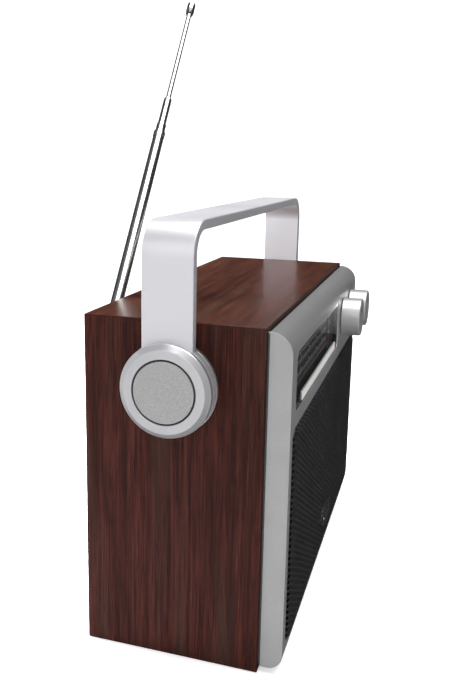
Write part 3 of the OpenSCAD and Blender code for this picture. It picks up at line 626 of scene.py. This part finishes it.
def numeral(text, x, z, y):
    """A generic scale number as a thin raised mesh."""
    name = "scale_number_" + text
    curve = bpy.data.curves.new(name, "FONT")
    curve.body = text
    curve.size = NUMBER_SIZE
    curve.extrude = 0.03 * MM
    curve.resolution_u = 3
    curve.align_x = "CENTER"
    made = link_piece(name, curve)
    made.location = (x, y, z)
    made.rotation_euler = (math.pi / 2, 0, 0)
    bpy.context.view_layer.update()
    mesh = bpy.data.meshes.new_from_object(made)
    mesh.transform(made.matrix_world)
    bpy.data.objects.remove(made)
    return link_piece(name, mesh)


def dial():
    """Bands, tick marks and plain numbers on the scale behind the window."""
    lo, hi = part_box("dial_scale")
    face, top = lo.y, hi.z
    left, right = lo.x + 5 * MM, hi.x - 3 * MM
    band_left, band_right = left - 3 * MM, right + 1 * MM

    def at(share):
        """The place of a share of the tuning range, with a margin at each end."""
        return left + (right - left) * (0.04 + 0.92 * share)

    bands = []
    for drop, tall in SCALE_BANDS:
        z, half = top - drop * MM, tall * MM / 2
        bands.append(strip(band_left, band_right, z - half, z + half, face, 0.12 * MM, 0.2 * MM))
    place(mesh_piece("scale_bands", *join(bands)), "dial_scale", paint="scale_grey")
    upper, lower = (top - drop * MM for drop in SCALE_LINE)
    line = strip(band_left, band_right, lower, upper, face, 0.16 * MM, 0.1 * MM)
    place(mesh_piece("scale_line", *line), "dial_scale", "bright_trim")
    ticks = []
    half = 0.12 * MM
    for drop, tall in SCALE_TICKS:
        for k in range(TICK_COUNT):
            x, z = at(k / (TICK_COUNT - 1)), top - drop * MM
            height = tall * (0.5 if k % TICKS_TO_A_NUMBER else 1) * MM
            ticks.append(strip(x - half, x + half, z, z + height, face, 0.1 * MM, 0.03 * MM))
    place(mesh_piece("scale_ticks", *join(ticks)), "dial_scale", paint="scale_white")
    for drop, labels in SCALE_NUMBERS:
        for k, text in enumerate(labels):
            number = numeral(text, at(k / (len(labels) - 1)), top - drop * MM, face - 0.05 * MM)
            place(number, "dial_scale", paint="scale_white")


def window_outline(y, inset):
    """The window's edge at one depth: round corners on the left, square where the divider meets it."""
    lo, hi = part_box("dial_window")
    x0, z0, x1, z1 = lo.x + inset, lo.z + inset, hi.x - inset, hi.z - inset
    corner, square = 5 * MM - inset, 0.01 * MM
    outline = fillet([(x0, z0), (x1, z0), (x1, z1), (x0, z1)], [corner, square, square, corner], 8)
    return [Vector((p.x, y, p.y)) for p in outline]


def window():
    """The clear pane with eased edges, and the thin bright line printed round it."""
    lo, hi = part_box("dial_window")
    ease, rim, gap, forward, raised = 0.25 * MM, 0.8 * MM, 0.2 * MM, 1.1 * MM, 0.08 * MM
    face = lo.y - forward
    pane = loft([window_outline(hi.y, 0), window_outline(face + ease, 0), window_outline(face, ease)])
    stand_in(mesh_piece("dial_pane", *pane, 20), "dial_window")
    front = face - raised
    line = ring([window_outline(face, gap), window_outline(front, gap),
                 window_outline(front, gap + rim), window_outline(face, gap + rim)])
    place(mesh_piece("window_line", *line), "dial_window", "bright_trim")


# ---- Knobs ----

def knob(node):
    """A turned knob: eased rear edge, rounded nose, shallow spun dish, index line, bore for its shaft."""
    lo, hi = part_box(node)
    r, length = (hi.x - lo.x) / 2, hi.y - lo.y
    centre = Vector(((lo.x + hi.x) / 2, hi.y, (lo.z + hi.z) / 2))
    bore, dish_r, rear_ease, wall = 3.05 * MM, r * 0.74, 0.9 * MM, 2.2 * MM
    lip, lip_run, floor, middle = 0.5 * MM, 0.8 * MM, 0.62 * MM, 1.5 * MM
    outline = [(0, bore), (0, r - rear_ease), (0, r), (length, r), (length, dish_r),
               (length - lip, dish_r - lip_run), (length - floor, middle), (length - floor, AXIS_R),
               (length - wall, AXIS_R), (length - wall, bore)]
    rounding = [v * MM for v in (0, 0, 0.45, 2.3, 0.2, 0.5, 0, 0, 0, 0)]
    body = turned(fillet(outline, rounding, 7), centre, (0, -1, 0), 112)
    stand_in(mesh_piece(node + "_turned", *body), node)
    half = 0.45 * MM
    line = strip(centre.x - half, centre.x + half, centre.z + r * 0.3, centre.z + r * 0.66,
                 lo.y + floor, 0.2 * MM, 0.15 * MM)
    place(mesh_piece(node + "_index", *line), node, "gloss_black")


# ---- Handle pivots ----

def both_ends(profile, start):
    """A turned form at each side of the case, growing outwards from start on the handle's axis."""
    axis = Vector(JOINTS["handle_swing"]["pos_m"])
    return join([turned(profile, (side * start, axis.y, axis.z), (side, 0, 0), 128) for side in (1, -1)])


def pivots():
    """Caps with a bevelled face and a hollow back, a black plastic ring low in each groove as painted shade,
    and sparkled discs.
    """
    cap_lo, cap_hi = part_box("pivot_caps")
    disc_lo, disc_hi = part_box("pivot_discs")
    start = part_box("carrying_handle")[1].x
    depth, rim, disc_r = cap_hi.x - start, (cap_hi.z - cap_lo.z) / 2, (disc_hi.z - disc_lo.z) / 2
    groove, seat = disc_r + 0.9 * MM, depth - 1.1 * MM
    band, face_r = 2.4 * MM, 20.8 * MM
    hollow_r, hollow, bolt_r = 13 * MM, 3.4 * MM, 3 * MM
    outline = [(0, hollow_r), (0, rim), (band, rim), (depth, face_r), (depth, groove), (seat, groove),
               (seat, bolt_r), (hollow, bolt_r), (hollow, hollow_r)]
    rounding = [v * MM for v in (0, 0.3, 0.5, 0.3, 0.2, 0.1, 0, 0, 0)]
    stand_in(mesh_piece("pivot_caps_turned", *both_ends(fillet(outline, rounding), start), 28), "pivot_caps")
    # Painted shade: a black plastic ring sits low in each groove, put where the groove's shade falls.
    sunk = depth - 0.7 * MM
    groove_shade = fillet([(seat, disc_r), (sunk, disc_r), (sunk, groove), (seat, groove)], 0.1 * MM, 3)
    place(mesh_piece("pivot_groove_shade", *both_ends(groove_shade, start), 28), "pivot_caps", paint="black_plastic")
    high = disc_hi.x - start
    disc = fillet([(seat, AXIS_R), (seat, disc_r), (high, disc_r), (high, AXIS_R)], [0, 0, 0.35 * MM, 0])
    stand_in(mesh_piece("pivot_discs_turned", *both_ends(disc, start), 28), "pivot_discs")


# ---- Aerial ----

def aerial_span(node):
    """A tube's reach along the aerial from its hinge, and its inner and outer radius, in millimetres."""
    pivot = Vector(JOINTS["aerial_fold"]["pos_m"])
    axis = Vector(JOINTS["section_2_slide"]["axis"]).normalized()
    reach, radii = [], []
    for vertex in frame["nodes"][node].data.vertices:
        away = vertex.co - pivot
        far = away.dot(axis)
        reach.append(far / MM)
        radii.append((away - axis * far).length / MM)
    return min(reach), max(reach), min(radii), max(radii)


def aerial_piece(name, outline, rounding, steps=3, segments=64):
    """A form turned on the aerial's axis, from an outline and corner radii in millimetres."""
    pivot = Vector(JOINTS["aerial_fold"]["pos_m"])
    points = [(far * MM, r * MM) for far, r in outline]
    profile = fillet(points, [v * MM for v in rounding], steps)
    return mesh_piece(name, *turned(profile, pivot, JOINTS["section_2_slide"]["axis"], segments))


def aerial_tube(name, node):
    """One drawn tube with a rolled mouth at its top."""
    low, high, bore, r = aerial_span(node)
    neck = r - 0.25
    outline = [(low, r), (high - 3.2, r), (high - 2.8, neck), (high - 2.2, neck), (high - 1.8, r), (high, r),
               (high, bore), (low, bore)]
    stand_in(aerial_piece(name, outline, (0.1, 0.2, 0.2, 0.2, 0.2, 0.5, 0.1, 0)), node)


def aerial_base_lip():
    """The rolled rim round the mouth of the base tube."""
    high = aerial_span("aerial_base_tube")[1]
    tube_r, rim_r, mouth_r = 3.5, 3.72, 3.3
    outline = [(high - 3.6, tube_r), (high - 3.6, rim_r), (high - 0.1, rim_r), (high - 0.1, mouth_r),
               (high - 0.5, mouth_r), (high - 0.5, tube_r)]
    place(aerial_piece("aerial_base_lip", outline, [0.15] * len(outline)), "aerial_base_tube")


def aerial_tip():
    """The thin rod, its turned cap and the dark collar under the cap."""
    axis_r = AXIS_R / MM
    low, high, _, r = aerial_span("aerial_tip_rod")
    rod = [(low, axis_r), (low, r), (high, r), (high, axis_r)]
    stand_in(aerial_piece("aerial_tip_drawn", rod, (0, 0.2, 0, 0), segments=48), "aerial_tip_rod")
    low, high, _, r = aerial_span("aerial_tip_cap")
    cap_low, collar_high, nose = low + 4.4, low + 4.5, high - 1.6
    cap = [(cap_low, axis_r), (cap_low, r - 0.15), (nose, r), (high, r - 1.2), (high, axis_r)]
    stand_in(aerial_piece("aerial_cap_turned", cap, (0, 0.25, 0.8, 0.5, 0), 6), "aerial_tip_cap")
    collar = [(low, 1.5), (low, r - 0.4), (low + 2.2, r), (collar_high, r), (collar_high, 1.5)]
    made = aerial_piece("aerial_cap_collar", collar, (0, 0.3, 0.4, 0.2, 0), 4)
    place(made, "aerial_tip_cap", "gloss_black")


def aerial():
    """Drawn tubes with rolled lips, in the order they nest."""
    aerial_tube("aerial_second_drawn", "aerial_section_2")
    aerial_tube("aerial_third_drawn", "aerial_section_3")
    aerial_base_lip()
    aerial_tip()


# ---- CAD nodes that keep their own mesh ----

EASE = {"front_fascia": 0.8, "carrying_handle": 0.7, "rear_cover": 0.4, "battery_door": 0.4,
        "dial_divider": 0.4, "dial_trim_bar": 0.5, "aerial_bracket": 0.5, "power_inlet": 0.35,
        "earphone_jack": 0.3, "band_switch_slider": 0.2, "aerial_swivel_base": 0.3, "aerial_hinge_pin": 0.1}
PAINT_OF = {"dial_trim_bar": "bar_silver"}


def cad_looks():
    """Every node gets its slot's material, and those on show get rounded edges."""
    for name, node in frame["nodes"].items():
        node.data.materials.clear()
        node.data.materials.append(MATERIALS[PAINT_OF.get(name, SLOT_OF[name])])
        if name in EASE:
            eased_edges(node, EASE[name] * MM)


# ---- Studio, in metres ----

LIGHTS = (("key", (-1.5, 0.1, 0.9), 1.1, 3),  # name, place, size and watts
          ("top", (0.1, -0.25, 1.6), 1.3, 32),
          ("rear", (0.0, 0.5, 0.35), 0.2, 22))
AIM = Vector((0, 0, 0.1))
ROOM_SHADES = ((0.0, 0.03), (0.35, 0.06), (0.6, 0.16), (0.85, 0.56), (1.0, 0.78))  # from right to left
SURROUND = ((3.9, -0.3), (4.4, 0.0), (4.6, 0.6), (4.6, 5.0), (0.05, 6.0))          # radius and height


def sweep():
    """A pale floor that curves up behind the object."""
    half_width, front, bend_at, bend_r, top = 4, -4.0, 1.2, 1.5, 4
    side = [(front, 0), (bend_at, 0)]
    for a in range(10, 91, 10):
        turn = math.radians(a)
        side.append((bend_at + bend_r * math.sin(turn), bend_r - bend_r * math.cos(turn)))
    side.append((bend_at + bend_r, top))
    verts = [Vector((x, y, z)) for y, z in side for x in (-half_width, half_width)]
    faces = [(2 * i, 2 * i + 1, 2 * i + 3, 2 * i + 2) for i in range(len(side) - 1)]
    floor = mesh_piece("sweep", verts, faces, 60)
    floor.rotation_euler = (0, 0, math.radians(-72))
    floor.visible_glossy = floor.visible_transmission = False
    paper = Paint("sweep_paper", 0.9)
    paper.colour(paper.ramp(paper.noise((6,) * 3, 2), [(0.3, 0.86), (0.7, 0.88)]))
    paper.set("Emission Color", (1, 1, 1, 1))
    paper.set("Emission Strength", 0.5)
    floor.data.materials.append(MATERIALS["sweep_paper"])


def surround():
    """A pale wall all round that only the camera sees, so that no view meets the room's dark side."""
    loops = []
    for r, z in SURROUND:
        turns = [math.radians(a) for a in range(0, 360, 6)]
        loops.append([Vector((r * math.cos(a), r * math.sin(a), z)) for a in turns])
    wall = mesh_piece("surround", *loft(loops, caps=False), 60)
    wall.visible_diffuse = wall.visible_glossy = wall.visible_transmission = wall.visible_shadow = False
    wall.data.materials.append(MATERIALS["sweep_paper"])


def room():
    """Soft light from all round, brightest on the object's left."""
    world = bpy.data.worlds.new("soft_room")
    bpy.context.scene.world = world
    world.use_nodes = True
    tree = world.node_tree
    where = tree.nodes.new("ShaderNodeTexCoord")
    split = tree.nodes.new("ShaderNodeSeparateXYZ")
    side = tree.nodes.new("ShaderNodeMapRange")
    side.inputs["From Min"].default_value = 1
    side.inputs["From Max"].default_value = -1
    ramp = tree.nodes.new("ShaderNodeValToRGB")
    fill_ramp(ramp.color_ramp, [(at, (shade, shade, shade * 1.01)) for at, shade in ROOM_SHADES])
    tree.links.new(where.outputs["Generated"], split.inputs["Vector"])
    tree.links.new(split.outputs["X"], side.inputs["Value"])
    tree.links.new(side.outputs["Result"], ramp.inputs["Fac"])
    tree.links.new(ramp.outputs["Color"], tree.nodes["Background"].inputs["Color"])
    tree.nodes["Background"].inputs["Strength"].default_value = 1.0


def lights():
    for name, at, size, power in LIGHTS:
        light = bpy.data.lights.new(name, "AREA")
        light.shape = "RECTANGLE"
        light.size = light.size_y = size
        light.energy = power
        lamp = link_piece(name, light)
        lamp.location = at
        lamp.rotation_euler = (AIM - Vector(at)).to_track_quat("-Z", "Y").to_euler()
        lamp.visible_glossy = name != "rear"


def studio():
    """A plain pale sweep and wall, a soft even room and three soft lights."""
    bpy.context.scene.view_settings.view_transform = "Standard"
    sweep()
    surround()
    room()
    lights()


# The camera was solved from the reference's straight edges, together with the case's shape.
CAMERA_AT = (-0.465, -0.1235, 0.2575)
CAMERA_RIGHT = Vector((0.30945, -0.95082, 0.01349))
CAMERA_UP = Vector((0.17799, 0.07185, 0.98141))


def camera():
    """The view of the reference: low, close, and along the radio's left side."""
    data = bpy.data.cameras.new("camera")
    data.sensor_width = 36
    data.lens = 41.0
    data.shift_x, data.shift_y = 0.0394, -0.0446
    data.clip_start, data.clip_end = 0.02, 30
    made = link_piece("camera", data)
    look = CAMERA_UP.cross(CAMERA_RIGHT).normalized()
    turn = Matrix((CAMERA_RIGHT, CAMERA_UP, -look)).transposed()
    made.matrix_world = Matrix.Translation(CAMERA_AT) @ turn.to_4x4()
    bpy.context.scene.camera = made


wood_materials()
metal_materials()
plastic_materials()
inside_materials()
cad_looks()
wooden_case()
grille()
badge()
dial()
window()
knob("tuning_knob")
knob("volume_knob")
pivots()
aerial()
studio()
camera()
